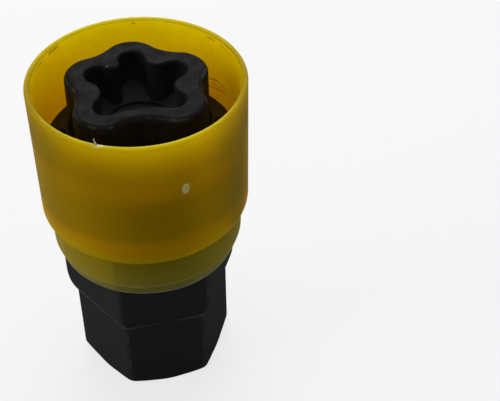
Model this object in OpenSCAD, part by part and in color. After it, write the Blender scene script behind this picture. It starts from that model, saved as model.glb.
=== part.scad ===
// Locking wheel nut key: a forged steel socket with a coded lobed recess, in a translucent push-on sleeve.
// It stands on its hexagon end: the origin is the middle of the end face, and +Z runs up to the recess.

/* [Hexagon drive] */
// Small hexagon, measured across its flats
small_af = 19; // [17:0.5:20]
// Height of the small hexagon, up to the foot of the large one
small_len = 12.4; // [8:0.1:20]
// Large hexagon, measured across its flats
large_af = 21; // [20.6:0.1:22]
// Height of the large hexagon, from its foot up to the collar
large_len = 18.1; // [14:0.1:26]
// Rounding of the upright corners of both hexagons
corner_r = 1.2; // [0.6:0.1:2]
// Diameter of the flat on the end face
end_flat_d = 18.8; // [14:0.1:18.9]
// Slope of the turned bevel round the end face, in degrees
end_slope = 30; // [15:1:45]
// Height over which the foot of the large hexagon is drawn in to meet the small one
foot_h = 3.8; // [1.5:0.1:6]
// Width of the flat ledge left at the foot
ledge_w = 0.1; // [0.05:0.01:0.3]

/* [Collar] */
// Diameter of the round collar
collar_d = 24.6; // [24.2:0.1:30]
// Height of the collar
collar_h = 7.6; // [4:0.1:12]
// Bevel on both edges of the collar
collar_bevel = 0.4; // [0.1:0.05:0.7]
// Width of the sloped run-out between the large hexagon and the collar
runout_w = 1; // [0.3:0.1:1.3]

/* [Coded recess] */
// Distance from the axis to the tip of each lobe of the recess
recess_reach = 7.1; // [6.6:0.1:7.5]
// Radius of the lobes of the recess
recess_lobe_r = 1.65; // [1.2:0.05:1.75]
// Radius of the circle that the lands between the lobes reach
recess_land_r = 4.55; // [4.2:0.05:4.8]
// Depth of the recess
recess_depth = 4.5; // [3:0.1:7]
// Bevel round the mouth of the recess
mouth_bevel = 0.25; // [0.1:0.05:0.5]
// Direction of the first lobe, in degrees from a corner of the hexagon
lobe_angle_1 = 22; // [16:1:28]
// Direction of the second lobe
lobe_angle_2 = 87.5; // [82:0.5:90]
// Direction of the third lobe
lobe_angle_3 = 143.5; // [141:0.5:148]
// Direction of the fourth lobe
lobe_angle_4 = 219; // [212:1:228]
// Direction of the fifth lobe
lobe_angle_5 = 313; // [306:1:318]
// Diameter of the drilled relief in the floor of the recess
relief_d = 8.7; // [5:0.1:9]
// Height of the relief's wall, down to its drill point
relief_depth = 1.5; // [0.5:0.1:3]
// Full angle of the drill point, in degrees
drill_angle = 118; // [90:1:140]

/* [Head] */
// Height of the head above the collar
head_h = 8.1; // [7:0.1:14]
// Wall of the head outside the tip of each lobe
head_wall = 2.8; // [2:0.1:4]
// Radius of the outer lobes of the head
head_lobe_r = 3.85; // [3.3:0.05:4.1]
// Radius of the hollows between the outer lobes
head_hollow_r = 5.5; // [3:0.1:8]
// Rounding of the top edge of the head
head_round = 0.95; // [0.3:0.05:1.3]

/* [Sleeve] */
// Gap between the sleeve's large bore and the collar, on the radius
collar_fit = 0.02; // [0:0.01:0.1]
// Gap between the sleeve's neck and the corners of the large hexagon, on the radius
neck_fit = 0.03; // [0:0.01:0.2]
// Wall of the sleeve round the collar
sleeve_wall = 1.4; // [1:0.05:2.2]
// Wall of the sleeve at its rim, where the bore has widened
rim_wall = 0.7; // [0.5:0.05:0.95]
// Height of the rim above the head
rim_rise = 0.85; // [0:0.05:6]
// Thickness of the shoulder under the collar
shoulder_t = 2.5; // [1.2:0.1:3]
// Rounding of the outer edge of the shoulder
shoulder_round = 0.85; // [0.2:0.05:1.1]
// Wall of the neck
neck_wall = 0.75; // [0.5:0.05:1]
// Length of the straight part of the neck
neck_len = 4.8; // [2:0.1:8]
// Length of the thinned lip below the neck
lip_len = 1.8; // [0.5:0.1:2.5]
// Wall at the end of the lip
lip_wall = 0.2; // [0.15:0.05:0.4]

/* [Hidden] */
$fn = 96;
// Overlap that lets a cut run past a face
past = 1;
// Number of slices in the drawn-in foot, and how far it is tucked inside the full hexagon
foot_steps = 6;
foot_tuck = 0.02;
// Height of the step left where a lobe's arc meets the arc beside it, so that the two never miss each other by less
seam_step = 0.002;

foot_z = small_len;
collar_z = foot_z + large_len;
collar_top = collar_z + collar_h;
head_top = collar_top + head_h;
floor_z = head_top - recess_depth;
collar_r = collar_d / 2;

lobe_angles = [lobe_angle_1, lobe_angle_2, lobe_angle_3, lobe_angle_4, lobe_angle_5];
lobes = len(lobe_angles);
recess_lobe_at = recess_reach - recess_lobe_r;
head_lobe_at = recess_reach + head_wall - head_lobe_r;

// Distance from the axis to a hexagon's rounded corner
function corner_reach(af) = (af / 2 - corner_r) / cos(30) + corner_r;

// The cup goes round whichever reaches further out, the collar or the corners of the large hexagon
bore_r = max(collar_r, corner_reach(large_af)) + collar_fit;
sleeve_r = bore_r + sleeve_wall;
rim_z = head_top + rim_rise;
rim_bore_r = sleeve_r - rim_wall;
neck_bore_r = corner_reach(large_af) + neck_fit;
neck_r = neck_bore_r + neck_wall;
shoulder_z = collar_z - shoulder_t;
neck_z = shoulder_z - neck_len;
lip_z = neck_z - lip_len;
// Each side of the rim is a quarter circle of half the rim's wall
rim_round = rim_wall / 2;

function polar(r, a) = [r * cos(a), r * sin(a)];

// Half the angle from lobe i to the next one, and the direction midway between them
function next_angle(i) = lobe_angles[(i + 1) % lobes] + (i == lobes - 1 ? 360 : 0);
function half_gap(i) = (next_angle(i) - lobe_angles[i]) / 2;
function mid_angle(i) = (next_angle(i) + lobe_angles[i]) / 2;

// A land of the recess is an arc that touches both its lobes and the circle of recess_land_r about the axis.
// The cosine rule in the triangle of axis, lobe centre and land centre gives the land's radius.
function land_r(i) =
    let (c = cos(half_gap(i)))
    (recess_land_r * recess_land_r + recess_lobe_at * recess_lobe_at
        - 2 * recess_land_r * recess_lobe_at * c - recess_lobe_r * recess_lobe_r)
    / (2 * (recess_lobe_at * c + recess_lobe_r - recess_land_r));

// A hollow of the head is an arc of head_hollow_r that touches both its lobes: the same triangle gives its centre.
function hollow_at(i) =
    let (side = head_lobe_r + head_hollow_r, across = head_lobe_at * sin(half_gap(i)))
    head_lobe_at * cos(half_gap(i)) + sqrt(side * side - across * across);

land_radii = [for (i = [0:lobes - 1]) land_r(i)];
land_places = [for (i = [0:lobes - 1]) recess_land_r + land_radii[i]];
hollow_places = [for (i = [0:lobes - 1]) hollow_at(i)];

// A lobed outline is cut into pieces along the lines from each lobe's centre to the centres of the arcs beside it.
// This kite is the piece between lobe i and the next one, out to the centre of the arc between them.
module kite(i, lobe_at, arcs_at) {
    polygon([
        [0, 0],
        polar(lobe_at, lobe_angles[i]),
        polar(arcs_at[i], mid_angle(i)),
        polar(lobe_at, next_angle(i))
    ]);
}

// This wedge is the piece outside lobe i, between the kites on its two sides
module wedge(i, lobe_at, arcs_at) {
    before = (i + lobes - 1) % lobes;
    polygon([
        polar(lobe_at, lobe_angles[i]),
        polar(arcs_at[before], mid_angle(before)),
        polar(2 * arcs_at[before], mid_angle(before)),
        polar(2 * arcs_at[i], mid_angle(i)),
        polar(arcs_at[i], mid_angle(i))
    ]);
}

// Post of radius r and height h, whose top edge is rounded by e
module rounded_post(r, h, e) {
    rotate_extrude() {
        square([r, h - e]);
        square([r - e, h]);
        intersection() {
            translate([r - e, h - e]) circle(e);
            square([r, h]);
        }
    }
}

// Cutter of radius r that widens towards height h, and so leaves an edge rounded by e
module flared_cutter(r, h, e) {
    rotate_extrude() {
        difference() {
            translate([0, -past]) square([r + e, h + 2 * past]);
            translate([r, -2 * past]) square([e + past, h - e + 2 * past]);
            translate([r + e, h - e]) circle(e);
        }
    }
}

// Post of radius r whose last stretch, of height e below h, widens by e, or narrows where e is below zero
module bevelled_post(r, h, e) {
    cylinder(r = r, h = h - abs(e));
    translate([0, 0, h - abs(e)]) cylinder(r1 = r, r2 = r + e, h = abs(e));
    translate([0, 0, h]) cylinder(r = r + e, h = past);
}

// Rounded hexagon with one corner on +X
module hexagon(af) {
    inner = (af / 2 - corner_r) / cos(30);
    for (i = [0:5]) {
        translate(polar(inner, 60 * i)) circle(corner_r);
    }
    polygon([
        for (i = [0:5])
            each [
                polar(inner, 60 * i) + polar(corner_r, 60 * i - 30),
                polar(inner, 60 * i) + polar(corner_r, 60 * i + 30)
            ]
    ]);
}

// Small hexagon, with the turned bevel round its end face
module small_hexagon() {
    reach = corner_reach(small_af) + past;
    rise = (reach - end_flat_d / 2) * tan(end_slope);
    intersection() {
        linear_extrude(foot_z + past) hexagon(small_af);
        union() {
            cylinder(r1 = end_flat_d / 2, r2 = reach, h = rise);
            translate([0, 0, rise]) cylinder(r = reach, h = foot_z + past - rise);
        }
    }
}

// Large hexagon, with a foot whose sides are an arc that leaves its flats without an edge
module large_hexagon() {
    foot_af = small_af + 2 * ledge_w;
    draw_in = (large_af - foot_af) / 2;
    arc_r = (foot_h * foot_h + draw_in * draw_in) / (2 * draw_in);
    full_z = foot_z + foot_h;
    translate([0, 0, full_z]) linear_extrude(collar_z + past - full_z) hexagon(large_af);
    hull() {
        for (k = [0:foot_steps]) {
            below = foot_h * (1 - k / foot_steps);
            // Depth of the arc at this distance below the full hexagon, and a hair less than the full size at the top
            depth = arc_r - sqrt(arc_r * arc_r - below * below) + foot_tuck;
            translate([0, 0, full_z - below]) {
                linear_extrude(k == foot_steps ? past : foot_tuck) hexagon(large_af - 2 * depth, $fn = 36);
            }
        }
    }
}

// Round collar with bevelled edges, and the run-out that leads into it from the flats of the large hexagon
module collar() {
    flat_r = large_af / 2;
    translate([0, 0, collar_z]) {
        cylinder(r1 = collar_r - collar_bevel, r2 = collar_r, h = collar_bevel);
        translate([0, 0, collar_bevel]) cylinder(r = collar_r, h = collar_h - 2 * collar_bevel);
        translate([0, 0, collar_h - collar_bevel]) {
            cylinder(r1 = collar_r, r2 = collar_r - collar_bevel, h = collar_bevel);
        }
    }
    translate([0, 0, collar_z - runout_w]) cylinder(r1 = flat_r, r2 = flat_r + runout_w, h = runout_w);
}

// Lobed block of the head, with its top edge rounded all the way round
module head_block() {
    // The block starts inside the collar, so that the two are one piece
    h = head_h + past;
    translate([0, 0, collar_top - past]) {
        for (i = [0:lobes - 1]) {
            difference() {
                linear_extrude(h) kite(i, head_lobe_at, hollow_places);
                translate(polar(hollow_places[i], mid_angle(i))) flared_cutter(head_hollow_r - seam_step, h, head_round);
            }
            intersection() {
                linear_extrude(h) wedge(i, head_lobe_at, hollow_places);
                translate(polar(head_lobe_at, lobe_angles[i])) rounded_post(head_lobe_r, h, head_round);
            }
        }
    }
}

// Space of the coded recess, from its floor to just above the head, widened by the bevel at its mouth
module recess() {
    h = recess_depth + past;
    translate([0, 0, floor_z]) {
        for (i = [0:lobes - 1]) {
            difference() {
                linear_extrude(h) kite(i, recess_lobe_at, land_places);
                translate([0, 0, -past]) {
                    translate(polar(land_places[i], mid_angle(i))) {
                        bevelled_post(land_radii[i] - seam_step, recess_depth + past, -mouth_bevel);
                    }
                }
            }
            intersection() {
                linear_extrude(h) wedge(i, recess_lobe_at, land_places);
                translate(polar(recess_lobe_at, lobe_angles[i])) {
                    bevelled_post(recess_lobe_r, recess_depth, mouth_bevel);
                }
            }
        }
    }
}

// Blind hole with a drill point, sunk in the floor of the recess
module relief() {
    r = relief_d / 2;
    point = r / tan(drill_angle / 2);
    translate([0, 0, floor_z - relief_depth]) {
        cylinder(r = r, h = relief_depth + past);
        translate([0, 0, -point]) cylinder(r1 = 0, r2 = r, h = point);
    }
}

// The key: one forged and turned piece of blackened steel
module key() {
    color("#2b2c2e") {
        difference() {
            union() {
                small_hexagon();
                large_hexagon();
                collar();
                head_block();
            }
            recess();
            relief();
        }
    }
}

// The sleeve: one moulding, slid on from the hexagon end until its shoulder meets the collar
module sleeve() {
    color("#d9b400") {
        rotate_extrude() {
            difference() {
                union() {
                    // Straight outer wall, with its rounded shoulder and rim
                    translate([neck_bore_r, shoulder_z]) {
                        square([sleeve_r - shoulder_round - neck_bore_r, rim_z - rim_round - shoulder_z]);
                    }
                    translate([neck_bore_r, shoulder_z + shoulder_round]) {
                        square([sleeve_r - neck_bore_r, rim_z - rim_round - shoulder_z - shoulder_round]);
                    }
                    translate([sleeve_r - shoulder_round, shoulder_z + shoulder_round]) circle(shoulder_round);
                    translate([sleeve_r - rim_round, rim_z - rim_round]) circle(rim_round);
                    // Neck and thinned lip
                    polygon([
                        [neck_bore_r, shoulder_z + past],
                        [neck_bore_r, lip_z],
                        [neck_bore_r + lip_wall, lip_z],
                        [neck_r, neck_z],
                        [neck_r, shoulder_z + past]
                    ]);
                }
                // Bore round the collar, widening from the collar's top face to the rim
                polygon([
                    [0, collar_z],
                    [bore_r, collar_z],
                    [bore_r, collar_top],
                    [rim_bore_r, rim_z - rim_round],
                    [0, rim_z - rim_round]
                ]);
            }
        }
    }
}

key();
sleeve();
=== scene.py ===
"""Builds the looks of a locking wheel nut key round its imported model.

Two pieces are made, and each stands for one CAD node: the blackened steel key and its yellow sleeve.
Both are lofts: closed rings of points, one after the next along a rounded profile, worked out as arrays.
Sizes are in metres in the add-on's settings and in millimetres where the arrays are worked out.
"""

import math
from types import SimpleNamespace

import bpy
import numpy as np
from mathutils import Matrix, Vector


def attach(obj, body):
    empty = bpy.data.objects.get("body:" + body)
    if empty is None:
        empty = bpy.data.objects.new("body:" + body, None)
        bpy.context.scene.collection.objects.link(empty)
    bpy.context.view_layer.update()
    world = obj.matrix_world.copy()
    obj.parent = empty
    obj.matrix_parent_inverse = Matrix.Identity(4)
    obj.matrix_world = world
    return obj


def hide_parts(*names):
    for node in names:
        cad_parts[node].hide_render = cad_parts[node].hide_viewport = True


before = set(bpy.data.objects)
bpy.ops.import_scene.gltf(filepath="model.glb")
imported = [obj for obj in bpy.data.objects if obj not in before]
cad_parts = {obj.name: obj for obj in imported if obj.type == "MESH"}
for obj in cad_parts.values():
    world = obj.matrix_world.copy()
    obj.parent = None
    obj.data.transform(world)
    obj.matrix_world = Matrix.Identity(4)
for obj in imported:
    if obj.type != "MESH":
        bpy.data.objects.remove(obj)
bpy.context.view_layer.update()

bl_info = {
    "name": "Locking wheel nut key",
    "version": (1, 0, 0),
    "blender": (4, 5, 0),
    "location": "3D View > Sidebar > Wheel nut key",
    "description": "Builds a blackened wheel nut key and its translucent sleeve round the packed model",
    "category": "Object",
}

MM = 0.001
BODY = "root"
IMAGE_WIDTH = 500

# Columns of points round the key: on each lobe, and on each arc between two lobes
LOBE_STEPS = 66
BETWEEN_STEPS = 45
# Columns of points round the sleeve
SLEEVE_STEPS = 420
# Half the angle of a drill's point
DRILL_HALF_ANGLE = math.radians(59)
# The gate's scar on the cup: its direction round the axis, and its height in millimetres
GATE = (math.radians(-76.6), 39.8)
# The middle of the torn place on the rim, in millimetres
TORN_AT = (-6.2, -11.65)
# The torn curl, from its root on the rim to its tip inside the cup, in millimetres
TORN_CURL = (
    (-6.6, -11.4, 46.78), (-6.64, -11.1, 46.86), (-6.68, -10.8, 46.91),
    (-6.72, -10.5, 46.94), (-6.76, -10.2, 46.95),
)
# The painted shade on the cup is deeper at its two sides and lighter in a strip beside the scar: direction and
# width in degrees
DARK_LEFT, DARK_RIGHT, LESS_SHADE_STRIP = (205, 16), (321, 14), (293, 9)
# Where the painted warm light at the seat is strongest, in degrees: on the front
WARM_MIDDLE = 255
# Nicks on the head: both ends in millimetres, and the width
NICKS = (
    ((-3.15, 4.55, 46.1), (-2.95, 4.65, 46.1), 0.11),
    ((2.2, -7.75, 46.0), (2.6, -7.7, 46.0), 0.16),
)
# Dark rubs inside the cup: direction in degrees and height of both ends, width, and how broken up they are
RUBS = (
    ((138.5, 46.5), (131.5, 46.6), 0.34, 0.3),
    ((157, 46.5), (147, 46.4), 0.16, 0.7),
    ((36, 46.4), (30, 46.4), 0.13, 0.5),
    ((25, 46.3), (12, 46.3), 0.1, 0.9),
    ((83, 46.5), (81.6, 46.5), 0.2, 0.2),
    ((34, 39.2), (16, 39.8), 0.16, 0.8),
    ((32, 39.9), (18, 40.1), 0.13, 1.0),
    ((30, 40.8), (13, 40.6), 0.12, 1.0),
    ((33, 40.4), (26, 40.6), 0.16, 0.7),
)
# The radius at which the rubs are measured, and that within which a point is inside the cup
RUBBED_R, INSIDE_R = 12.67, 13.12
# Heights over which the paler hexagon turns plain, and those of the steel in the sleeve. The hexagon's
# paleness is rubbing and painted light from the pale floor; the steel in the sleeve is painted with the
# plastic's yellow light
RUBBED_AND_LIT_TO, IN_SLEEVE = (24.0, 28.0), (30.0, 38.3)

# Half the side of the floor, in metres
FLOOR_HALF = 3.0
# Area lamps: place, size and power. All of them point at one place
LAMPS = {
    "top_lamp": ((0.03, 0.2, 0.5), 0.35, 0.95),
    "back_lamp": ((0.12, 0.55, 0.3), 0.5, 1.7),
    "left_lamp": ((-0.5, 0.02, 0.2), 0.35, 1.1),
    "right_lamp": ((0.45, -0.05, 0.04), 0.3, 0.5),
}
LAMPS_AIM = (0, 0, 0.03)
# The camera: place in millimetres, level direction, tilt and roll in degrees, and focal length in pixels
CAMERA_PLACE = (-13.178, -108.52, 126.729)
CAMERA_LEVEL = (0.2464, 0.9692, 0)
CAMERA_TILT, CAMERA_ROLL = 42.681, 0.204
CAMERA_FOCUS = 1092
SENSOR_WIDTH = 36


# Settings that a user would change


def length(name, description, value):
    """A property for a length, given in millimetres."""
    return bpy.props.FloatProperty(
        name=name, description=description, default=value * MM, min=0, unit="LENGTH", precision=5
    )


def colour(name, description, value):
    """A property for a colour."""
    return bpy.props.FloatVectorProperty(
        name=name, description=description, default=value, size=3, min=0, max=1, subtype="COLOR"
    )


class KeySizes(bpy.types.PropertyGroup):
    """Sizes of the steel key"""

    small_af: length("Small hexagon", "Size across the flats of the small hexagon", 19)
    large_af: length("Large hexagon", "Size across the flats of the large hexagon", 21)
    corner: length("Corner rounding", "Rounding of the hexagons' upright corners", 1.2)
    foot_z: length("Foot height", "Height of the root of the large hexagon's foot", 12.4)
    foot_rise: length("Foot rise", "Height over which the foot is drawn in", 3.8)
    end_flat: length("End flat", "Radius of the flat on the end face", 9.4)
    end_slope: bpy.props.FloatProperty(
        name="End bevel", description="Slope of the turned bevel round the end face",
        default=math.radians(30), subtype="ANGLE",
    )
    collar_z: length("Collar height", "Height of the collar's lower face", 30.5)
    collar_top: length("Collar top", "Height of the collar's upper face", 38.1)
    collar_r: length("Collar radius", "Radius of the collar", 12.3)
    collar_bevel: length("Collar bevel", "Bevel on the collar's edges", 0.4)
    runout: length("Run-out", "Width of the sloped run-out under the collar", 1)
    head_top: length("Head top", "Height of the head's top face", 46.2)
    head_lobe_r: length("Head lobe", "Radius of the head's outer lobes", 3.85)
    head_lobe_at: length("Head lobe place", "Distance of the outer lobes' centres from the axis", 6.05)
    head_hollow_r: length("Head hollow", "Radius of the hollows between the outer lobes", 5.5)
    head_round: length("Head rounding", "Rounding of the head's top edge", 0.95)
    recess_lobe_r: length("Recess lobe", "Radius of the recess's lobes", 1.65)
    recess_lobe_at: length("Recess lobe place", "Distance of the recess lobes' centres from the axis", 5.45)
    recess_land_r: length("Recess lands", "Radius of the circle that the lands reach", 4.55)
    recess_floor: length("Recess floor", "Height of the recess's floor", 41.7)
    mouth_bevel: length("Mouth bevel", "Bevel round the mouth of the recess", 0.25)
    relief_r: length("Relief radius", "Radius of the drilled relief in the floor", 4.35)
    relief_z: length("Relief edge", "Height of the relief's edge, to which the floor dishes down", 40.2)
    relief_depth: length("Relief depth", "Depth of the relief's wall below its edge", 0.45)
    lobe_angles: bpy.props.FloatVectorProperty(
        name="Lobe directions", description="Directions of the five lobes, from a corner of the hexagon",
        default=tuple(math.radians(a) for a in (22, 87.5, 143.5, 219, 313)), size=5, subtype="NONE",
    )


class SleeveSizes(bpy.types.PropertyGroup):
    """Sizes of the sleeve"""

    radius: length("Cup radius", "Outer radius of the cup", 13.72)
    collar_bore: length("Collar bore", "Radius of the bore round the collar", 12.32)
    rim_bore: length("Rim bore", "Radius of the bore at the rim", 13.02)
    neck_bore: length("Neck bore", "Radius of the bore round the large hexagon", 11.969)
    neck_r: length("Neck radius", "Outer radius of the neck", 12.719)
    rim_z: length("Rim height", "Height of the rim", 47.05)
    shoulder_z: length("Shoulder height", "Height of the shoulder's lower face", 28)
    neck_z: length("Neck end", "Height at which the lip starts to thin", 23.2)
    lip_z: length("Lip end", "Height of the lip's end", 21.4)
    lip_wall: length("Lip wall", "Wall at the end of the lip", 0.2)
    shoulder_round: length("Shoulder rounding", "Rounding of the shoulder's outer edge", 0.85)
    flare_z: length("Flare height", "Height from which the bore widens towards the rim", 38.1)
    seat_z: length("Seat height", "Height of the seat that the collar rests on", 30.5)


class Finish(bpy.types.PropertyGroup):
    """Colours of the part and the stage"""

    steel: colour("Steel", "Colour of the blackened steel", (0.0108, 0.0108, 0.0113))
    # Rubbing and painted light from the pale floor make the lower hexagons paler
    rubbed_and_floor_lit_steel: colour("Rubbed steel", "Colour of the rubbed hexagons", (0.034, 0.0345, 0.036))
    # Painted light: the inside of the recess is painted paler than the steel
    recess_lit_steel: colour("Recess steel", "Colour of the steel inside the recess", (0.036, 0.037, 0.039))
    # Painted light: the plastic's yellow light on the collar
    plastic_lit_steel: colour("Tinted steel", "Colour of the collar in the plastic's light", (0.05, 0.028, 0.005))
    # Also the colour of the painted highlight under the foot
    bare_and_highlight_steel: colour("Worn steel", "Colour where the black has worn off the edges", (0.2, 0.2, 0.195))
    plastic: colour("Plastic", "Colour of the sleeve", (0.8, 0.4, 0.001))
    # Painted shade: the sleeve where dark steel lies close behind it, at its rim and at its two sides
    shaded_plastic: colour("Deep plastic", "Colour of the sleeve over the collar", (0.29, 0.187, 0.001))
    # Painted warm light through the thick plastic at the seat
    seat_light_plastic: colour("Warm plastic", "Colour of the sleeve's thick shoulder", (0.8, 0.32, 0.001))
    # Painted shade: the neck where the dark hexagon lies close behind it
    shaded_neck_plastic: colour("Olive plastic", "Colour of the neck over the hexagon", (0.3, 0.215, 0.004))
    chalk: colour("Stressed plastic", "Colour of plastic that is stressed pale", (0.95, 0.82, 0.46))
    grime: colour("Grime", "Colour of the dark rubs on the sleeve", (0.09, 0.045, 0.004))
    floor: colour("Floor", "Colour of the floor as it is seen", (0.85, 0.85, 0.85))
    floor_bounce: colour("Floor bounce", "Colour of the floor as it lights the part", (0.3, 0.3, 0.3))
    floor_mirrored: colour("Floor mirrored", "Colour of the floor in the part's gloss", (0.18, 0.18, 0.18))


# Arrays of points


def smooth_step(value, low, high):
    """0 below low, 1 above high and smooth between."""
    share = np.clip((value - low) / (high - low), 0, 1)
    return share * share * (3 - 2 * share)


def bell(value, middle, width):
    """1 at the middle, falling as a bell curve to 1/e at the width."""
    return np.exp(-(((value - middle) / width) ** 2))


def hexagon_reach(angle, across_flats, corner):
    """Distance from the axis to a rounded hexagon with a corner on +X, at each angle.

    On a flat it is the half size across the flats over the cosine of the angle from the flat's middle.
    On a corner it is the ray's far crossing with the corner's circle, centred on the corner's line.
    """
    sixth = math.pi / 3
    off_corner = np.abs((angle + sixth / 2) % sixth - sixth / 2)
    centre = (across_flats / 2 - corner) / math.cos(sixth / 2)
    tangent = math.atan2(corner * math.sin(sixth / 2), centre + corner * math.cos(sixth / 2))
    flat = across_flats / 2 / np.cos(sixth / 2 - off_corner)
    inside = np.clip(corner**2 - (centre * np.sin(off_corner)) ** 2, 0, None)
    return np.where(off_corner < tangent, centre * np.cos(off_corner) + np.sqrt(inside), flat)


def corner_share(angle, across_flats, corner):
    """How close each angle is to an upright corner of the hexagon: 1 there, falling as a bell curve."""
    sixth = math.pi / 3
    off_corner = np.abs((angle + sixth / 2) % sixth - sixth / 2)
    return bell(off_corner * across_flats / 2, 0, 0.55 * corner)


def turn(angles):
    """Unit vectors at the given angles."""
    return np.stack([np.cos(angles), np.sin(angles)], -1)


def lobed_outline(angles, lobe_at, lobe_r, between_at, between_r):
    """Points and outward normals of a lobed outline, anticlockwise.

    Each lobe is an arc about a centre at lobe_at from the axis. Between two lobes runs an arc about a centre
    outside the outline, at between_at from the axis midway between them, and it touches both lobes.
    The arcs change over on the lines that join their centres.
    """
    count = len(angles)
    following = np.roll(angles, -1) + np.where(np.arange(count) == count - 1, 2 * np.pi, 0)
    middles = (angles + following) / 2
    lobes = lobe_at * turn(angles)
    betweens = between_at[:, None] * turn(middles)
    after = betweens - lobes
    before = np.roll(betweens, 1, axis=0) - lobes
    to_after = (np.arctan2(after[:, 1], after[:, 0]) - angles) % (2 * np.pi)
    to_before = (angles - np.arctan2(before[:, 1], before[:, 0])) % (2 * np.pi)
    share = np.arange(LOBE_STEPS) / LOBE_STEPS
    lobe_dirs = turn(angles[:, None] - to_before[:, None] + share * (to_before + to_after)[:, None])
    lobe_points = lobes[:, None] + lobe_r * lobe_dirs
    # Half the sweep of the arc between two lobes, seen from its own centre
    back = -after
    half = (np.arctan2(back[:, 1], back[:, 0]) - middles - np.pi) % (2 * np.pi)
    share = np.arange(BETWEEN_STEPS) / BETWEEN_STEPS
    between_dirs = turn(middles[:, None] + np.pi + half[:, None] * (1 - 2 * share))
    between_points = betweens[:, None] + between_r[:, None, None] * between_dirs
    points = np.concatenate([lobe_points, between_points], 1).reshape(-1, 2)
    normals = np.concatenate([lobe_dirs, -between_dirs], 1).reshape(-1, 2)
    return points, normals


def head_outline(k):
    """Outer outline of the head: equal lobes with hollows of one radius between them.

    In the triangle of axis, lobe centre and hollow centre, the last side is the sum of the two radii.
    """
    angles = np.array(k.lobe_angles)
    half = (np.roll(angles, -1) - angles) % (2 * np.pi) / 2
    side = k.head_lobe_r + k.head_hollow_r
    across = k.head_lobe_at * np.sin(half)
    hollow_at = k.head_lobe_at * np.cos(half) + np.sqrt(side**2 - across**2)
    radii = np.full(len(angles), k.head_hollow_r)
    return lobed_outline(angles, k.head_lobe_at, k.head_lobe_r, hollow_at, radii)


def recess_outline(k):
    """Outline of the recess: equal lobes, with lands between them that all reach one circle about the axis.

    The cosine rule in the triangle of axis, lobe centre and land centre gives each land's radius.
    """
    angles = np.array(k.lobe_angles)
    cosine = np.cos((np.roll(angles, -1) - angles) % (2 * np.pi) / 2)
    land, at, lobe = k.recess_land_r, k.recess_lobe_at, k.recess_lobe_r
    radii = (land**2 + at**2 - 2 * land * at * cosine - lobe**2) / (2 * (at * cosine + lobe - land))
    return lobed_outline(angles, at, lobe, land + radii, radii)


def rounded_profile(corners, hold=0.12):
    """Follows a broken line and rounds its corners.

    Each corner is (across, height, radius, steps). Across and height are numbers, or one number per column.
    At a turn T the arc of radius r starts r tan(T/2) before the corner. At angle a along it, the point is
    that start plus r (sin a along the line before, and 1 - cos a square to it on the side of the turn).
    A row a short way before and after each arc keeps the flats flat when they are shaded.
    Returns the rows, (across, height), and how far each row is round a convex corner, from 0 to 1.
    """
    columns = max(np.size(value) for corner in corners for value in corner[:2])
    points = [[np.broadcast_to(value, columns) for value in corner[:2]] for corner in corners]
    points = np.array(points, float).transpose(0, 2, 1)
    rows, edge = [points[0]], [0.0]
    for i in range(1, len(corners) - 1):
        radius, steps = corners[i][2:]
        into, out = points[i] - points[i - 1], points[i + 1] - points[i]
        into_length = np.linalg.norm(into, axis=1, keepdims=True)
        out_length = np.linalg.norm(out, axis=1, keepdims=True)
        into, out = into / into_length, out / out_length
        cross = into[:, :1] * out[:, 1:] - into[:, 1:] * out[:, :1]
        angle = np.arctan2(np.abs(cross), (into * out).sum(1, keepdims=True))
        square = np.sign(cross) * np.stack([-into[:, 1], into[:, 0]], -1)
        reach = radius * np.tan(angle / 2)
        start, end = points[i] - reach * into, points[i] + reach * out
        rows.append(start - np.minimum(hold, 0.3 * (into_length - reach)) * into)
        edge.append(0.0)
        convex = float(np.mean(cross) > 0)
        for share in np.linspace(0, 1, steps + 1):
            a = angle * share
            rows.append(start + radius * (np.sin(a) * into + (1 - np.cos(a)) * square))
            edge.append(convex * math.sin(math.pi * share))
        rows.append(end + np.minimum(hold, 0.3 * (out_length - reach)) * out)
        edge.append(0.0)
    rows.append(points[-1])
    edge.append(0.0)
    return np.array(rows), np.array(edge)


def lumps(points, size, seed):
    """A smooth uneven field from -1 to 1: the mean of six sine waves in different directions, size apart."""
    draw = np.random.default_rng(seed)
    directions = draw.normal(size=(6, 3))
    directions /= np.linalg.norm(directions, axis=1, keepdims=True)
    directions *= 2 * np.pi / size * draw.uniform(0.7, 1.4, (6, 1))
    phases = draw.uniform(0, 2 * np.pi, 6)
    return np.sin(points @ directions.T + phases).mean(-1) * 1.6


def around(rows, angle):
    """Turns rows of (distance from the axis, height) into rings of points at the given angles."""
    return beside(rows, 0, turn(angle))


def beside(rows, points, normals):
    """Turns rows of (distance outside an outline, height) into rings of points that follow the outline."""
    rows = np.broadcast_to(rows, (len(rows), len(normals), 2))
    return np.concatenate([points + rows[..., :1] * normals, rows[..., 1:]], -1)


def between(first, last, count):
    """Rings that run evenly from one ring to another, without either."""
    share = (np.arange(1, count + 1) / (count + 1))[:, None, None]
    return first * (1 - share) + last * share


def shell(rings, bottom=None, top=None):
    """Points and faces of a closed surface through rings of equal count.

    Faces run from each ring to the next and close round it. With bottom and top, each end closes in a fan to
    that point; without them the last ring joins the first, as round a tube. Rings run anticlockwise.
    """
    layers, columns = rings.shape[:2]
    vertices = rings.reshape(-1, 3)
    row = np.arange(layers - 1 if bottom is not None else layers)[:, None] * columns
    here = np.arange(columns)
    beyond = (here + 1) % columns
    above = (row + columns) % (layers * columns)
    quads = np.stack([row + here, row + beyond, above + beyond, above + here], -1).reshape(-1, 4)
    faces = quads.tolist()
    if bottom is not None:
        vertices = np.concatenate([vertices, [bottom, top]])
        last = (layers - 1) * columns
        foot, tip = layers * columns, layers * columns + 1
        faces += np.stack([np.full(columns, foot), beyond, here], -1).tolist()
        faces += np.stack([last + here, last + beyond, np.full(columns, tip)], -1).tolist()
    return vertices, faces


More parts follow.
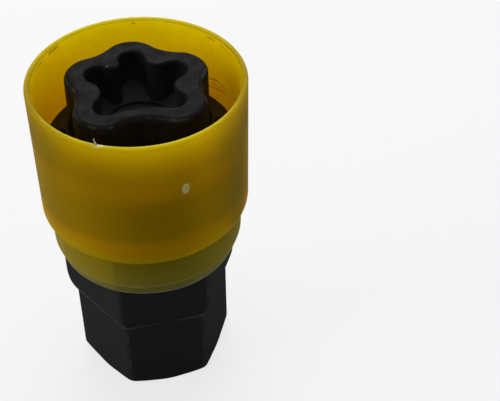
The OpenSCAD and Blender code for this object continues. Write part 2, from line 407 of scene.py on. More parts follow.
def mesh_piece(name, *shells):
    """A mesh object of one or more closed surfaces, given in millimetres."""
    vertices, faces = [], []
    for points, sides in shells:
        start = sum(len(v) for v in vertices)
        faces += [[corner + start for corner in side] for side in sides]
        vertices.append(points)
    mesh = bpy.data.meshes.new(name)
    mesh.from_pydata((np.concatenate(vertices) * MM).tolist(), [], faces)
    mesh.polygons.foreach_set("use_smooth", np.ones(len(mesh.polygons), bool))
    mesh.update()
    piece = bpy.data.objects.new(name, mesh)
    bpy.context.scene.collection.objects.link(piece)
    return piece


def paint(piece, name, values, rest=0.0):
    """Keeps one number per point, for the material to read. Points beyond the values get the rest."""
    whole = np.full(len(piece.data.vertices), rest, np.float32)
    whole[: values.size] = values.ravel()
    attribute = piece.data.attributes.new(name, "FLOAT", "POINT")
    attribute.data.foreach_set("value", whole)


def millimetres(group):
    """The settings of a group as plain numbers, lengths in millimetres and angles in radians."""
    angles = ("lobe_angles", "end_slope")
    values = {name: getattr(group, name) for name in group.__annotations__}
    return SimpleNamespace(**{name: value if name in angles else value / MM for name, value in values.items()})


def key_rings(k):
    """Rings of the whole key, from its end face up over the head and down into the relief.

    Up to the collar the profile is a distance from the axis that changes with the angle; round the head and
    the recess it is a distance from their outlines. Returns the rings, three numbers per point and the ends'
    middles. The numbers say how close a point is to a worn edge, how much it is in the pale line under the
    foot, which is a painted highlight with some rubbing, and how deep it is in the recess, which is painted
    paler as light.
    """
    head, head_out = head_outline(k)
    recess, recess_out = recess_outline(k)
    angle = np.unwrap(np.arctan2(head[:, 1], head[:, 0]))
    small = hexagon_reach(angle, k.small_af, k.corner)
    large = hexagon_reach(angle, k.large_af, k.corner)
    bevel_z = (small - k.end_flat) * math.tan(k.end_slope)
    # The bevel is short at the middle of each flat, so its upper edge is rounded less there
    free = (small - k.end_flat) / math.cos(k.end_slope) - 0.25 * math.tan(k.end_slope / 2)
    bevel_round = np.minimum(0.45, 0.9 * free / math.tan(math.pi / 4 - k.end_slope / 2))[:, None]
    # The foot's side is an arc whose centre is level with its top, where it meets the flat without an edge
    rise, draw_in = k.foot_rise, (k.large_af - k.small_af) / 2 - 0.1
    arc_r = (rise**2 + draw_in**2) / (2 * draw_in)
    below = rise * (1 - np.linspace(0, 1, 14) ** 1.5)
    depth = arc_r - np.sqrt(arc_r**2 - below**2)
    foot = [
        (hexagon_reach(angle, k.large_af - 2 * d, k.corner), k.foot_z + rise - b)
        for d, b in zip(depth, below)
    ]
    under = np.maximum(large, k.large_af / 2 + k.runout)
    lower, lower_edge = rounded_profile([
        (3.0, 0.0, 0, 0),
        (k.end_flat, 0.0, 0.25, 3),
        (small, bevel_z, bevel_round, 6),
        (small, k.foot_z - 0.45, 0.01, 0),
        (small, k.foot_z - 0.28, 0.01, 0),
        (small, k.foot_z, 0.04, 3),
        (*foot[0], 0.03, 3),
        (*foot[1], 0.1, 2),
        *[(r, z, 0.2, 0) for r, z in foot[2:-1]],
        (large, k.foot_z + rise, 0.2, 1),
        (large, k.collar_z - k.runout, 0.3, 4),
        (under + 0.05, k.collar_z, 0.25, 3),
        (k.collar_r - k.collar_bevel, k.collar_z, 0.15, 2),
        (k.collar_r, k.collar_z + k.collar_bevel, 0.25, 3),
        (k.collar_r, k.collar_top - k.collar_bevel, 0.25, 3),
        (k.collar_r - k.collar_bevel, k.collar_top, 0.15, 3),
        (np.hypot(*head.T) + 0.7, k.collar_top, 0, 0),
    ])
    lower = around(lower, angle)
    upper, upper_edge = rounded_profile([
        (0.65, k.collar_top, 0, 0),
        (0.0, k.collar_top, 0.45, 5),
        (0.0, k.head_top, k.head_round, 10),
        (-1.25, k.head_top, 0, 0),
    ])
    upper = beside(upper, head, head_out)
    # The floor is a wide cone, which ends in the lobes at its full height and dips to the relief's edge
    slope = (k.recess_floor - k.relief_z) / (k.recess_lobe_at + k.recess_lobe_r - k.relief_r)
    wall_foot = k.relief_z + slope * (np.hypot(*recess.T) - k.relief_r)
    inner, inner_edge = rounded_profile([
        (k.mouth_bevel + 0.2, k.head_top, 0, 0),
        (k.mouth_bevel, k.head_top, 0.2, 3),
        (0.0, k.head_top - k.mouth_bevel, 0.2, 3),
        (0.0, wall_foot, 0.06, 3),
        (-0.09, wall_foot - 0.09 * slope, 0, 0),
    ])
    inner = beside(inner, recess, recess_out)
    floor_angle = np.unwrap(np.arctan2(inner[-1, :, 1], inner[-1, :, 0]))
    relief_foot = k.relief_z - k.relief_depth
    point_z = relief_foot - k.relief_r / math.tan(DRILL_HALF_ANGLE)
    relief, relief_edge = rounded_profile([
        (k.relief_r + 0.06, k.relief_z + 0.06 * slope, 0, 0),
        (k.relief_r, k.relief_z, 0.04, 3),
        (k.relief_r, relief_foot, 0.1, 2),
        (0.3, point_z + 0.3 / math.tan(DRILL_HALF_ANGLE), 0, 0),
    ])
    relief = around(relief, floor_angle)
    parts = [
        (lower, lower_edge),
        (between(lower[-1], upper[0], 1), np.zeros(1)),
        (upper, upper_edge),
        (between(upper[-1], inner[0], 2), np.zeros(2)),
        (inner, inner_edge),
        (between(inner[-1], relief[0], 1), np.zeros(1)),
        (relief, relief_edge),
    ]
    rings = np.concatenate([np.broadcast_to(r, (len(r), len(angle), 3)) for r, _ in parts])
    edge = np.concatenate([e for _, e in parts])[:, None] * np.ones(len(angle))
    height = rings[..., 2]
    on_hexagons = (height > 0.8) & (height < k.collar_z - k.runout)
    edge = np.maximum(edge, on_hexagons * corner_share(angle, k.large_af, k.corner))
    # The pale line just under the foot's ledge is a painted highlight with some rubbing. It is strongest at
    # the hexagon's corners on X, which face the side lamps
    root = smooth_step(height, k.foot_z - 0.4, k.foot_z - 0.25) * (0.12 + 0.88 * np.abs(np.cos(angle)))
    root *= 1 - smooth_step(height, k.foot_z + 0.3, k.foot_z + 0.6)
    # Rings outside the recess: those of the lower part and the head, and the three between the parts
    rings_out = len(lower) + len(upper) + 3
    # How deep a point is in the recess, where the material paints the steel paler as light
    deep = 1 - smooth_step(height, k.head_top - 1.4, k.head_top - 0.2)
    inside = (np.arange(len(rings)) >= rings_out)[:, None] * deep
    return rings, edge, root, inside, (0, 0, 0), (0, 0, point_z)


def forged(rings, k):
    """Sinks the forged faces by up to a few hundredths of a millimetre in soft lumps, and never raises them.

    Each point moves towards the axis. The end face, the collar and the recess's floor are turned or pressed
    true, so the move fades out there.
    """
    height = rings[..., 2]
    reach = np.hypot(rings[..., 0], rings[..., 1])
    sides = np.clip((height - 1.2) / 2, 0, 1) * np.clip((k.collar_z - 2 - height) / 2, 0, 1)
    outside = reach > k.recess_lobe_at + k.recess_lobe_r + 0.25
    wall = np.clip((height - k.collar_top - 0.8) / 1.5, 0, 1) * outside
    sink = 0.05 * (1 + lumps(rings, 5.5, 4)) * np.clip(sides + wall, 0, 1)
    moved = rings.copy()
    moved[..., :2] *= (1 - sink / np.maximum(reach, 1))[..., None]
    # The top face of the head is pressed, and dips a little between its two edges
    on_top = (height > k.head_top - 0.02) * 0.05 * (1 + lumps(rings, 4.2, 9))
    moved[..., 2] -= on_top
    return moved


def tapered_curl(path, thick, thin, columns=8):
    """Rings of a round burr along a path, thick at its start and thin at its end, and its two end points.

    Each ring stands square to the path's direction there, on two directions made by cross products with Z.
    """
    path = np.array(path)
    along = np.gradient(path, axis=0)
    along /= np.linalg.norm(along, axis=1, keepdims=True)
    aside = np.cross((0, 0, 1.0), along)
    aside /= np.linalg.norm(aside, axis=1, keepdims=True)
    over = np.cross(along, aside)
    angle = np.arange(columns) * 2 * np.pi / columns
    radius = np.linspace(thick, thin, len(path))[:, None, None]
    rings = path[:, None] + radius * (
        np.cos(angle)[None, :, None] * aside[:, None] + np.sin(angle)[None, :, None] * over[:, None]
    )
    return rings, tuple(path[0]), tuple(path[-1])


def sleeve_tones(s, rings):
    """Painted shade and light on the sleeve: shade where dark steel lies close behind it over the collar, warm
    light through the thick plastic at the seat, and shade on the neck in front of the hexagon.

    The painted shade over the collar is deepest near the rim and at the cup's two sides, where it also reaches
    lowest, is lighter in a strip beside the scar, and fades out at the seat. The painted warm light is a bell
    curve of the height, strongest on one side. The neck's painted shade is darkest in front of the hexagon's
    flats that lie along X.
    """
    height = rings[..., 2]
    reach = np.hypot(rings[..., 0], rings[..., 1])
    direction = np.degrees(np.arctan2(rings[..., 1], rings[..., 0])) % 360
    cup = (reach > s.radius - 0.3) | (height > s.rim_z - 0.3)
    left, right, strip = (bell(direction, *place) for place in (DARK_LEFT, DARK_RIGHT, LESS_SHADE_STRIP))
    # Painted shade over the collar: deepest near the rim and at the two sides, lighter beside the scar
    dark = 0.62 + 0.24 * smooth_step(height, s.flare_z + 1.4, s.flare_z + 4.4)
    dark = dark + 0.1 * (height > s.rim_z - 0.5) + 0.18 * left + 0.38 * right - 0.13 * strip
    lower = 1.2 * left + 3.0 * right
    fade = smooth_step(height, s.seat_z - 0.6 - lower, s.seat_z + 2.5 - lower)
    # Painted warm light at the seat, strongest on the front
    facing = np.clip(np.cos(np.radians(direction - WARM_MIDDLE)), 0, 1)
    warm = cup * bell(height, s.seat_z + 0.2, 1.3) * (0.1 + 0.9 * facing**2)
    # Painted shade on the neck over the hexagon
    on_neck = (height < s.shoulder_z + 0.01) & (reach > s.neck_bore + 0.03)
    flat = smooth_step(direction % 180, 59, 61.5) * (1 - smooth_step(direction % 180, 150, 175))
    return cup * np.minimum(dark, 1) * fade, warm, on_neck * (0.62 + 0.32 * flat)


def sleeve_rings(s):
    """Rings of the sleeve: its closed profile carried round the axis.

    The lip's end wanders by less than a tenth of a millimetre. The gate's scar is a shallow dish in the wall,
    from a steep bell curve of the distance to its middle, and it is palest round its border. The outer edges
    and the torn place on the rim have the scar's tone too.
    """
    angle = np.arange(SLEEVE_STEPS) * 2 * np.pi / SLEEVE_STEPS
    steps_up = np.linspace(s.shoulder_z + 1.2, s.rim_z - 0.8, 50)
    rim_round = 0.3 * (s.radius - s.rim_bore)
    rows, edge = rounded_profile([
        (s.neck_bore, s.lip_z + 1.0, 0, 0),
        (s.neck_bore, s.lip_z, 0.06, 3),
        (s.neck_bore + s.lip_wall, s.lip_z, 0.06, 3),
        (s.neck_r, s.neck_z, 0.6, 4),
        (s.neck_r, s.shoulder_z, 0.12, 3),
        (s.radius, s.shoulder_z, s.shoulder_round, 9),
        *[(s.radius, z, 0.01, 0) for z in steps_up],
        (s.radius, s.rim_z, rim_round, 8),
        (s.rim_bore, s.rim_z, rim_round, 8),
        (s.collar_bore, s.flare_z, 0.3, 2),
        (s.collar_bore, s.seat_z, 0.1, 2),
        (s.neck_bore, s.seat_z, 0.1, 2),
        (s.neck_bore, s.lip_z + 1.2, 0, 0),
    ])
    rings = around(rows, angle)
    height = rings[..., 2]
    low = np.clip((s.neck_z - height) / (s.neck_z - s.lip_z), 0, 1)
    rings[..., 2] += 0.07 * low * lumps(rings * (1, 1, 0), 7, 2)
    gate_at, gate_z = GATE
    along = (angle - gate_at + np.pi) % (2 * np.pi) - np.pi
    away = np.hypot(along * s.radius / 0.45, (height - gate_z) / 0.78)
    outside = np.hypot(rings[..., 0], rings[..., 1]) > s.radius - 0.3
    scar = np.exp(-(away**8)) * outside
    rings[..., :2] *= (1 - 0.12 * scar / s.radius)[..., None]
    scar *= 0.55 + 0.45 * smooth_step(away, 0.35, 0.75)
    torn = np.hypot((rings[..., 0] - TORN_AT[0]) / 0.7, (rings[..., 1] - TORN_AT[1]) / 0.35)
    scar = np.maximum(scar, 0.55 * np.exp(-(torn**4)) * (height > s.rim_z - 0.25))
    for pale, middle, width in (
        (0.16, s.neck_z, 0.2), (0.15, s.lip_z + 0.1, 0.2), (0.12, s.shoulder_z + 0.05, 0.15)
    ):
        scar = np.maximum(scar, pale * bell(height, middle, width))
    return rings, edge[:, None] * np.ones(len(angle)), scar


# Materials


def socket(sockets, name):
    """A shader socket by its name."""
    return next(s for s in sockets if s.name == name and s.enabled)


class Graph:
    """Short calls that add and join nodes in one tree."""

    def __init__(self, tree):
        self.tree = tree

    def give(self, target, value):
        """Puts a value on an input, or joins a link to it."""
        if isinstance(value, bpy.types.NodeSocket):
            self.tree.links.new(value, target)
        else:
            target.default_value = value

    def add(self, kind, inputs=None, **settings):
        """A new node, with its settings, and with values or links on the named or numbered inputs."""
        node = self.tree.nodes.new(kind)
        for name, value in settings.items():
            setattr(node, name, value)
        for name, value in (inputs or {}).items():
            self.give(node.inputs[name] if isinstance(name, int) else socket(node.inputs, name), value)
        return node

    def math(self, operation, *values, clamp=False):
        """The result of a Math node."""
        node = self.add("ShaderNodeMath", dict(enumerate(values)), operation=operation, use_clamp=clamp)
        return node.outputs[0]

    def vector(self, operation, *values, result="Vector"):
        """A result of a Vector Math node."""
        node = self.add("ShaderNodeVectorMath", dict(enumerate(values)), operation=operation)
        return node.outputs[result]

    def ramp(self, value, low, high):
        """0 below low, 1 above high and smooth between."""
        node = self.add(
            "ShaderNodeMapRange", {"Value": value, "From Min": low, "From Max": high},
            interpolation_type="SMOOTHSTEP",
        )
        return node.outputs["Result"]

    def span(self, value, low, high, first, last):
        """A value from low to high stretched evenly to run from first to last."""
        ends = {"From Min": low, "From Max": high, "To Min": first, "To Max": last}
        return self.add("ShaderNodeMapRange", {"Value": value, **ends}).outputs["Result"]

    def noise(self, vector, scale, detail=3.0, roughness=0.5):
        """A noise texture's value."""
        inputs = {"Vector": vector, "Scale": scale, "Detail": detail, "Roughness": roughness}
        return self.add("ShaderNodeTexNoise", inputs).outputs[0]

    def mix(self, factor, first, second):
        """Two colours mixed by a factor. Each is a link, or its red, green and blue."""
        node = self.add("ShaderNodeMix", data_type="RGBA")
        self.give(socket(node.inputs, "Factor"), factor)
        for name, value in (("A", first), ("B", second)):
            colour_in = value if isinstance(value, bpy.types.NodeSocket) else (*value, 1.0)
            self.give(socket(node.inputs, name), colour_in)
        return socket(node.outputs, "Result")

    def group(self, name, inputs):
        """The outputs of a shared node group, placed in this tree and built at its first use."""
        node = self.tree.nodes.new("ShaderNodeGroup")
        node.node_tree = bpy.data.node_groups.get(name) or SHARED_GROUPS[name]()
        for label, value in inputs.items():
            self.give(node.inputs[label], value)
        return node.outputs

    def bump(self, height, strength, distance):
        """A Bump node's normal."""
        inputs = {"Height": height, "Strength": strength, "Distance": distance}
        return self.add("ShaderNodeBump", inputs).outputs["Normal"]

    def painted(self, name):
        """The numbers that paint() kept under a name."""
        return self.add("ShaderNodeAttribute", attribute_name=name).outputs["Fac"]

    def own_point(self):
        """A point's place on the part in millimetres."""
        place = self.add("ShaderNodeTexCoord").outputs["Object"]
        return self.add("ShaderNodeMapping", {"Vector": place, "Scale": (1 / MM,) * 3}).outputs["Vector"]

    def across(self, parts):
        """The distance from the axis: the root of X squared and Y squared added up."""
        squares = [self.math("MULTIPLY", parts[name], parts[name]) for name in ("X", "Y")]
        return self.math("SQRT", self.math("ADD", *squares))

    def seen_directly(self, rays):
        """1 where the camera sees a thing itself or through glass, from the outputs of a Light Path node."""
        return self.math("MAXIMUM", rays["Is Camera Ray"], rays["Is Transmission Ray"])


def new_group(name, inputs, outputs):
    """An empty shader node group. inputs maps a name to a number, or to None for a vector."""
    tree = bpy.data.node_groups.new(name, "ShaderNodeTree")
    for label, default in inputs.items():
        kind = "NodeSocketVector" if default is None else "NodeSocketFloat"
        made = tree.interface.new_socket(name=label, in_out="INPUT", socket_type=kind)
        if default is not None:
            made.default_value = default
    for label in outputs:
        tree.interface.new_socket(name=label, in_out="OUTPUT", socket_type="NodeSocketFloat")
    graph = Graph(tree)
    return graph, graph.add("NodeGroupInput").outputs, graph.add("NodeGroupOutput").inputs


def grain_group():
    """Surface grain: noise of three sizes, as a height and as a mask of darker and paler patches."""
    graph, given, gives = new_group(
        "surface_grain",
        {"Point": None, "Fine": 6.0, "Coarse": 0.6, "Fine Share": 0.5}, ["Height", "Patches"],
    )
    fine = graph.noise(given["Point"], given["Fine"], 4.0, 0.6)
    coarse = graph.noise(given["Point"], given["Coarse"], 2.0, 0.5)
    halfway = graph.math("SQRT", graph.math("MULTIPLY", given["Fine"], given["Coarse"]))
    middle = graph.noise(given["Point"], halfway, 3.0)
    rest = graph.math("SUBTRACT", 1.0, given["Fine Share"])
    height = graph.math(
        "ADD", graph.math("MULTIPLY", fine, given["Fine Share"]), graph.math("MULTIPLY", coarse, rest)
    )
    graph.tree.links.new(height, gives["Height"])
    graph.tree.links.new(graph.math("MULTIPLY", graph.math("ADD", coarse, middle), 0.5), gives["Patches"])
    return graph.tree


def wear_group():
    """Edge wear: an edge's closeness broken up by noise, so that the worn line comes and goes."""
    graph, given, gives = new_group(
        "edge_wear",
        {"Point": None, "Edge": 0.0, "Size": 1.0, "Amount": 0.5}, ["Mask"],
    )
    patchy = graph.noise(given["Point"], given["Size"], 5.0, 0.65)
    level = graph.math("MULTIPLY_ADD", given["Edge"], 0.62, graph.math("MULTIPLY", patchy, 0.6))
    start = graph.math("SUBTRACT", 1.12, graph.math("MULTIPLY", given["Amount"], 0.5))
    mask = graph.ramp(level, start, graph.math("ADD", start, 0.16))
    graph.tree.links.new(graph.math("MULTIPLY", mask, graph.ramp(given["Edge"], 0.0, 0.3)), gives["Mask"])
    return graph.tree


def scratch_group():
    """One scratch: 1 on the line from Start to End and 0 beyond Width from it, broken up along its length.

    The distance is from the point to its nearest place on the line: the start plus the line times the share
    of the way along, kept between 0 and 1.
    """
    graph, given, gives = new_group(
        "scratch",
        {"Point": None, "Start": None, "End": None, "Width": 0.1, "Break Up": 0.5}, ["Mask"],
    )
    line = graph.vector("SUBTRACT", given["End"], given["Start"])
    out = graph.vector("SUBTRACT", given["Point"], given["Start"])
    dot = graph.vector("DOT_PRODUCT", out, line, result="Value")
    own = graph.vector("DOT_PRODUCT", line, line, result="Value")
    share = graph.math("DIVIDE", dot, own, clamp=True)
    along = graph.add("ShaderNodeVectorMath", {0: line, 3: share}, operation="SCALE").outputs["Vector"]
    away = graph.vector("LENGTH", graph.vector("SUBTRACT", out, along), result="Value")
    near = graph.math("SUBTRACT", 1.0, graph.ramp(away, 0.0, given["Width"]))
    patchy = graph.ramp(graph.noise(given["Point"], 3.0, 3.0), 0.3, 0.6)
    broken = graph.math("MULTIPLY", given["Break Up"], graph.math("SUBTRACT", 1.0, patchy))
    kept = graph.math("SUBTRACT", 1.0, broken)
    graph.tree.links.new(graph.math("MULTIPLY", near, kept), gives["Mask"])
    return graph.tree


SHARED_GROUPS = {"surface_grain": grain_group, "edge_wear": wear_group, "scratch": scratch_group}


def new_material(name):
    """An empty material, and the calls that fill it."""
    material = bpy.data.materials.new(name)
    material.use_nodes = True
    material.node_tree.nodes.clear()
    return material, Graph(material.node_tree)


def steel_material(name, finish, turned):
    """Blackened steel: near black and matt, in darker and paler patches, and worn on its edges.

    The lower hexagons are paler, from rubbing and painted light from the pale floor, and a pale line under the
    foot is a painted highlight with some rubbing. The inside of the recess is painted paler, as painted light
    in its shade. Forged faces have a pebbled grain. Turned faces also have fine rings, which are noise read at
    the distance from the axis and the height, and where they stand in the sleeve they are painted with the
    plastic's yellow light.
    """
    material, graph = new_material(name)
    point = graph.own_point()
    parts = graph.add("ShaderNodeSeparateXYZ", {"Vector": point}).outputs
    up = parts["Z"]
    grain = graph.group("surface_grain", {"Point": point, "Fine": 5.0, "Coarse": 0.7, "Fine Share": 0.6})
    edge, root = graph.painted("edge"), graph.painted("root")
    worn = graph.group("edge_wear", {"Point": point, "Edge": edge, "Size": 0.55, "Amount": 0.52})["Mask"]
    rubbed_and_lit = graph.group("edge_wear", {"Point": point, "Edge": root, "Size": 0.35, "Amount": 1.8})["Mask"]
    wear = graph.math("MULTIPLY", worn, 0.22)
    for start, end, width in NICKS:
        inputs = {"Point": point, "Start": start, "End": end, "Width": width, "Break Up": 0.3}
        wear = graph.math("MAXIMUM", wear, graph.group("scratch", inputs)["Mask"])
    patches = graph.ramp(grain["Patches"], 0.35, 0.65)
    base = graph.mix(patches, [c * 0.78 for c in finish.steel], [c * 1.25 for c in finish.steel])
    # The lower hexagons are paler: rubbing and painted light from the pale floor
    base = graph.mix(graph.math("SUBTRACT", 1.0, graph.ramp(up, *RUBBED_AND_LIT_TO)), base, finish.rubbed_and_floor_lit_steel)
    # Painted light: the inside of the recess is painted paler
    in_recess = graph.painted("recess")
    base = graph.mix(in_recess, base, finish.recess_lit_steel)
    # Turned faces in the sleeve are painted with the plastic's yellow light
    if turned:
        above = graph.math("GREATER_THAN", up, IN_SLEEVE[0])
        below = graph.math("LESS_THAN", up, IN_SLEEVE[1])
        outside = graph.math("SUBTRACT", 1.0, in_recess)
        lit_by_plastic = graph.math("MULTIPLY", graph.math("MULTIPLY", above, below), outside)
        base = graph.mix(lit_by_plastic, base, finish.plastic_lit_steel)
    # The pale line under the foot: a painted highlight with some rubbing
    rubbed_and_lit = graph.math("MULTIPLY", rubbed_and_lit, graph.math("MULTIPLY", root, 0.7))
    base = graph.mix(rubbed_and_lit, base, finish.bare_and_highlight_steel)
    base = graph.mix(wear, base, finish.bare_and_highlight_steel)
    height = grain["Height"]
    if turned:
        ringed = graph.add("ShaderNodeCombineXYZ", {"X": graph.across(parts), "Z": up}).outputs["Vector"]
        rings = graph.noise(ringed, 7.0, 2.0)
        height = graph.math("ADD", graph.math("MULTIPLY", height, 0.5), graph.math("MULTIPLY", rings, 0.5))
    shader = graph.add("ShaderNodeBsdfPrincipled", {
        "Base Color": base, "Roughness": graph.span(patches, 0.0, 1.0, 0.56, 0.44),
        "Normal": graph.bump(height, 0.16, 0.00004), "Metallic": graph.math("MULTIPLY", wear, 0.8),
        "Specular IOR Level": 0.03,
    })
    graph.add("ShaderNodeOutputMaterial", {"Surface": shader.outputs["BSDF"]})
    return material


def plastic_material(name, finish):
    """Translucent yellow plastic: light goes in, scatters and comes out again.

    Painted shade where dark steel lies close behind it, and painted warm light at the seat, are mixed into
    its colour, in cup_shade, warm and neck_shade.
    Stressed plastic is pale, and the rubs inside the cup are dark. They are drawn on the cup unrolled: the
    angle round the axis times a radius, and the height.
    """
    material, graph = new_material(name)
    point = graph.own_point()
    parts = graph.add("ShaderNodeSeparateXYZ", {"Vector": point}).outputs
    grain = graph.group("surface_grain", {"Point": point, "Fine": 2.2, "Coarse": 0.35, "Fine Share": 0.3})
    around_wall = graph.math("MULTIPLY", graph.math("ARCTAN2", parts["Y"], parts["X"]), RUBBED_R)
    wall = graph.add("ShaderNodeCombineXYZ", {"X": around_wall, "Y": parts["Z"]}).outputs["Vector"]
    rubs = 0.0
    for first, last, width, break_up in RUBS:
        start, end = ((math.radians(degrees) * RUBBED_R, height, 0) for degrees, height in (first, last))
        inputs = {"Point": wall, "Start": start, "End": end, "Width": width, "Break Up": break_up}
        rubs = graph.math("MAXIMUM", rubs, graph.group("scratch", inputs)["Mask"])
    rubs = graph.math("MULTIPLY", rubs, graph.math("LESS_THAN", graph.across(parts), INSIDE_R))
    edge = graph.painted("edge")
    worn = graph.group("edge_wear", {"Point": point, "Edge": edge, "Size": 0.8, "Amount": 0.3})["Mask"]
    red, green, blue = finish.plastic
    base = graph.mix(graph.ramp(grain["Patches"], 0.3, 0.7), (red * 0.96, green * 0.9, blue), finish.plastic)
    # Painted shade over the collar and on the neck, and painted warm light at the seat
    tones = {"cup_shade": finish.shaded_plastic, "warm": finish.seat_light_plastic, "neck_shade": finish.shaded_neck_plastic}
    for label, tone in tones.items():
        base = graph.mix(graph.painted(label), base, tone)
    base = graph.mix(rubs, base, finish.grime)
    stressed = graph.math("MAXIMUM", graph.painted("scar"), graph.math("MULTIPLY", worn, 0.25))
    base = graph.mix(stressed, base, finish.chalk)
    shader = graph.add("ShaderNodeBsdfPrincipled", {
        "Base Color": base, "Roughness": graph.span(grain["Patches"], 0.3, 0.7, 0.3, 0.4),
        "Normal": graph.bump(grain["Height"], 0.25, 0.00005), "IOR": 1.49, "Specular IOR Level": 0.05,
        "Specular Tint": (1.0, 0.8, 0.15, 1.0), "Subsurface Weight": 1.0, "Subsurface Scale": 0.009,
        "Subsurface Radius": (1.0, 0.8, 0.2),
    })
    graph.add("ShaderNodeOutputMaterial", {"Surface": shader.outputs["BSDF"]})
    return material


def floor_material(name, finish):
    """A pale floor: where it is seen, three quarters white of its own and one lit, to keep the shadow."""
    material, graph = new_material(name)
    rays = graph.add("ShaderNodeLightPath").outputs
    direct = graph.seen_directly(rays)
    bounced = graph.mix(rays["Is Glossy Ray"], finish.floor_bounce, finish.floor_mirrored)
    shown = graph.mix(direct, bounced, finish.floor)
    matt = graph.add("ShaderNodeBsdfDiffuse", {"Color": shown}).outputs["BSDF"]
    white = graph.add("ShaderNodeEmission", {"Color": (1, 1, 1, 1), "Strength": 1.0}).outputs["Emission"]
    mixed = graph.add("ShaderNodeMixShader", {0: graph.math("MULTIPLY", direct, 0.75), 1: matt, 2: white})
    graph.add("ShaderNodeOutputMaterial", {"Surface": mixed.outputs["Shader"]})
    return material


# Operators


def settings():
    """The add-on's settings in this scene."""
    scene = bpy.context.scene
    return scene.wheel_key_sizes, scene.wheel_sleeve_sizes, scene.wheel_finish


class WHEELKEY_OT_key(bpy.types.Operator):
    """Make the blackened steel key"""

    bl_idname = "wheelkey.key"
    bl_label = "Make the key"

    def execute(self, context):
        sizes, _, finish = settings()
        k = millimetres(sizes)
        rings, edge, root, inside, foot, tip = key_rings(k)
        rings = forged(rings, k)
        piece = mesh_piece("steel_key", shell(rings, foot, tip))
        for name, values in (("edge", edge), ("root", root), ("recess", inside)):
            paint(piece, name, values)
        piece.data.materials.append(steel_material("forged_steel", finish, False))
        piece.data.materials.append(steel_material("turned_steel", finish, True))
        # The collar, the end face and the relief are turned, and all other faces are forged
        middle = np.zeros(len(piece.data.polygons) * 3)
        piece.data.polygons.foreach_get("center", middle)
        middle = middle.reshape(-1, 3) / MM
        on_collar = (middle[:, 2] > k.collar_z - 0.1) & (middle[:, 2] < k.collar_top + 0.05)
        on_end = middle[:, 2] < 0.9
        in_recess = np.hypot(middle[:, 0], middle[:, 1]) < k.relief_r + 0.05
        piece.data.polygons.foreach_set("material_index", (on_collar | on_end | in_recess).astype(np.int32))
        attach(piece, BODY)
        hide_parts("key")
        return {"FINISHED"}


class WHEELKEY_OT_sleeve(bpy.types.Operator):
    """Make the translucent yellow sleeve"""

    bl_idname = "wheelkey.sleeve"
    bl_label = "Make the sleeve"

    def execute(self, context):
        _, sizes, finish = settings()
        s = millimetres(sizes)
        rings, edge, scar = sleeve_rings(s)
        cup_shade, warm, neck_shade = sleeve_tones(s, rings)
        curl = tapered_curl(TORN_CURL, 0.12, 0.05)
        piece = mesh_piece("yellow_sleeve", shell(rings), shell(*curl))
        # Painted shade and painted warm light, kept for the material
        for name, values in (("edge", edge), ("cup_shade", cup_shade), ("warm", warm), ("neck_shade", neck_shade)):
            paint(piece, name, values)
        paint(piece, "scar", scar, rest=1.0)
        piece.data.materials.append(plastic_material("yellow_plastic", finish))
        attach(piece, BODY)
        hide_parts("sleeve")
        return {"FINISHED"}


def lamp(name, place, target, size, power):
    """A square area lamp at a place, turned to a target."""
    data = bpy.data.lights.new(name, "AREA")
    data.shape = "SQUARE"
    data.size = size
    data.energy = power
    made = bpy.data.objects.new(name, data)
    made.location = place
    made.rotation_euler = (Vector(target) - Vector(place)).to_track_quat("-Z", "Y").to_euler()
    bpy.context.scene.collection.objects.link(made)


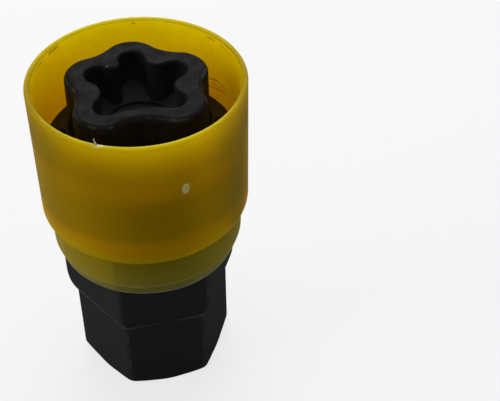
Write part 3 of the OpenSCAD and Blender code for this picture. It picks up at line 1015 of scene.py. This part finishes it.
class WHEELKEY_OT_stage(bpy.types.Operator):
    """Make the floor, the lamps and the camera"""

    bl_idname = "wheelkey.stage"
    bl_label = "Make the stage"

    def execute(self, context):
        finish = settings()[2]
        scene = context.scene
        mesh = bpy.data.meshes.new("floor")
        corners = [(x * FLOOR_HALF, y * FLOOR_HALF, 0) for x, y in ((-1, -1), (1, -1), (1, 1), (-1, 1))]
        mesh.from_pydata(corners, [], [(0, 1, 2, 3)])
        floor = bpy.data.objects.new("floor", mesh)
        scene.collection.objects.link(floor)
        mesh.materials.append(floor_material("pale_floor", finish))

        world = scene.world or bpy.data.worlds.new("studio")
        scene.world = world
        world.use_nodes = True
        world.node_tree.nodes.clear()
        graph = Graph(world.node_tree)
        rays = graph.add("ShaderNodeLightPath").outputs
        sight = graph.add("ShaderNodeTexCoord").outputs["Generated"]
        rise = graph.add("ShaderNodeSeparateXYZ", {"Vector": sight}).outputs["Z"]
        light = graph.span(rise, 0.0, 1.0, 0.05, 0.35)
        strength = graph.math("MAXIMUM", light, graph.seen_directly(rays))
        sky = graph.add("ShaderNodeBackground", {"Color": (1, 1, 1, 1), "Strength": strength})
        graph.add("ShaderNodeOutputWorld", {"Surface": sky.outputs["Background"]})

        for name, (place, size, power) in LAMPS.items():
            lamp(name, place, LAMPS_AIM, size, power)

        scene.view_settings.view_transform = "Standard"

        data = bpy.data.cameras.new("camera")
        data.sensor_width = SENSOR_WIDTH
        data.lens = SENSOR_WIDTH * CAMERA_FOCUS / IMAGE_WIDTH
        data.clip_start = 0.01
        data.clip_end = 20
        camera = bpy.data.objects.new("camera", data)
        tilt, roll = math.radians(CAMERA_TILT), math.radians(CAMERA_ROLL)
        level = Vector(CAMERA_LEVEL).normalized()
        forward = level * math.cos(tilt) - Vector((0, 0, math.sin(tilt)))
        right = forward.cross(Vector((0, 0, 1))).normalized()
        up = right.cross(forward)
        tilted_right = math.cos(roll) * right + math.sin(roll) * up
        tilted_up = math.cos(roll) * up - math.sin(roll) * right
        turned = Matrix((tilted_right, tilted_up, -forward)).transposed()
        camera.matrix_world = Matrix.Translation(Vector(CAMERA_PLACE) * MM) @ turned.to_4x4()
        scene.collection.objects.link(camera)
        scene.camera = camera
        return {"FINISHED"}


class WHEELKEY_PT_panel(bpy.types.Panel):
    """Lists the steps and the sizes"""

    bl_label = "Wheel nut key"
    bl_idname = "WHEELKEY_PT_panel"
    bl_space_type = "VIEW_3D"
    bl_region_type = "UI"
    bl_category = "Wheel nut key"

    def draw(self, context):
        layout = self.layout
        for step in STEPS:
            layout.operator(step.bl_idname)
        for group in settings():
            box = layout.box()
            for key in group.__annotations__:
                box.prop(group, key)


GROUPS = {"wheel_key_sizes": KeySizes, "wheel_sleeve_sizes": SleeveSizes, "wheel_finish": Finish}
STEPS = (WHEELKEY_OT_stage, WHEELKEY_OT_key, WHEELKEY_OT_sleeve)


def register():
    """Registers the classes and hangs the settings on the scene."""
    for made in (*GROUPS.values(), *STEPS, WHEELKEY_PT_panel):
        bpy.utils.register_class(made)
    for name, group in GROUPS.items():
        setattr(bpy.types.Scene, name, bpy.props.PointerProperty(type=group))


def unregister():
    """Takes the settings and the classes away again."""
    for name in GROUPS:
        delattr(bpy.types.Scene, name)
    for made in (WHEELKEY_PT_panel, *reversed(STEPS), *reversed(GROUPS.values())):
        bpy.utils.unregister_class(made)


def main():
    """Makes the stage and the pieces."""
    register()
    bpy.ops.wheelkey.stage()
    bpy.ops.wheelkey.key()
    bpy.ops.wheelkey.sleeve()


if __name__ == "__main__":
    main()
